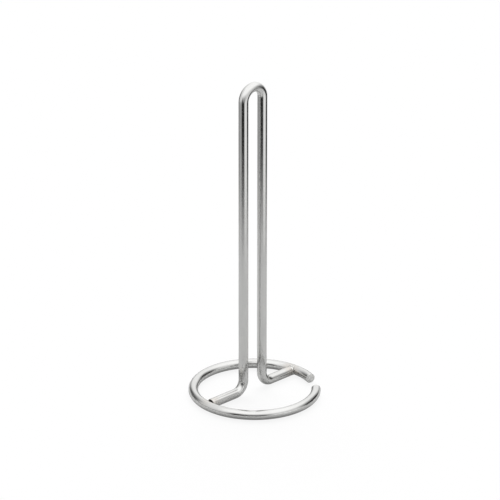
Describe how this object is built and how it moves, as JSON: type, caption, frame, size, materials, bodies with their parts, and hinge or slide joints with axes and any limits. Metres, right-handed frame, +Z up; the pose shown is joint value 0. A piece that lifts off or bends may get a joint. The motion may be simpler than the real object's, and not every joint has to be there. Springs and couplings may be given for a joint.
{
  "type": "paper towel holder",
  "caption": "Free-standing holder for a paper towel roll: an open base ring and a tall narrow loop for the roll's core, bent from round steel rod and welded together.",
  "frame": {"origin": "centre of the base ring, on the surface that the holder stands on", "axes": "+Z up along the legs; +X along the rear foot; the legs and feet lie in a plane parallel to XZ"},
  "size_m": [0.13, 0.13, 0.324],
  "materials": {
    "rod_steel": "bright satin polish with fine lines along the rod",
    "weld_steel": "rippled fused metal under the same bright finish"
  },
  "bodies": {
    "root": {"base_ring": "rod_steel", "post_loop": "rod_steel", "weld_front": "weld_steel", "weld_rear": "weld_steel"}
  },
  "joints": []
}
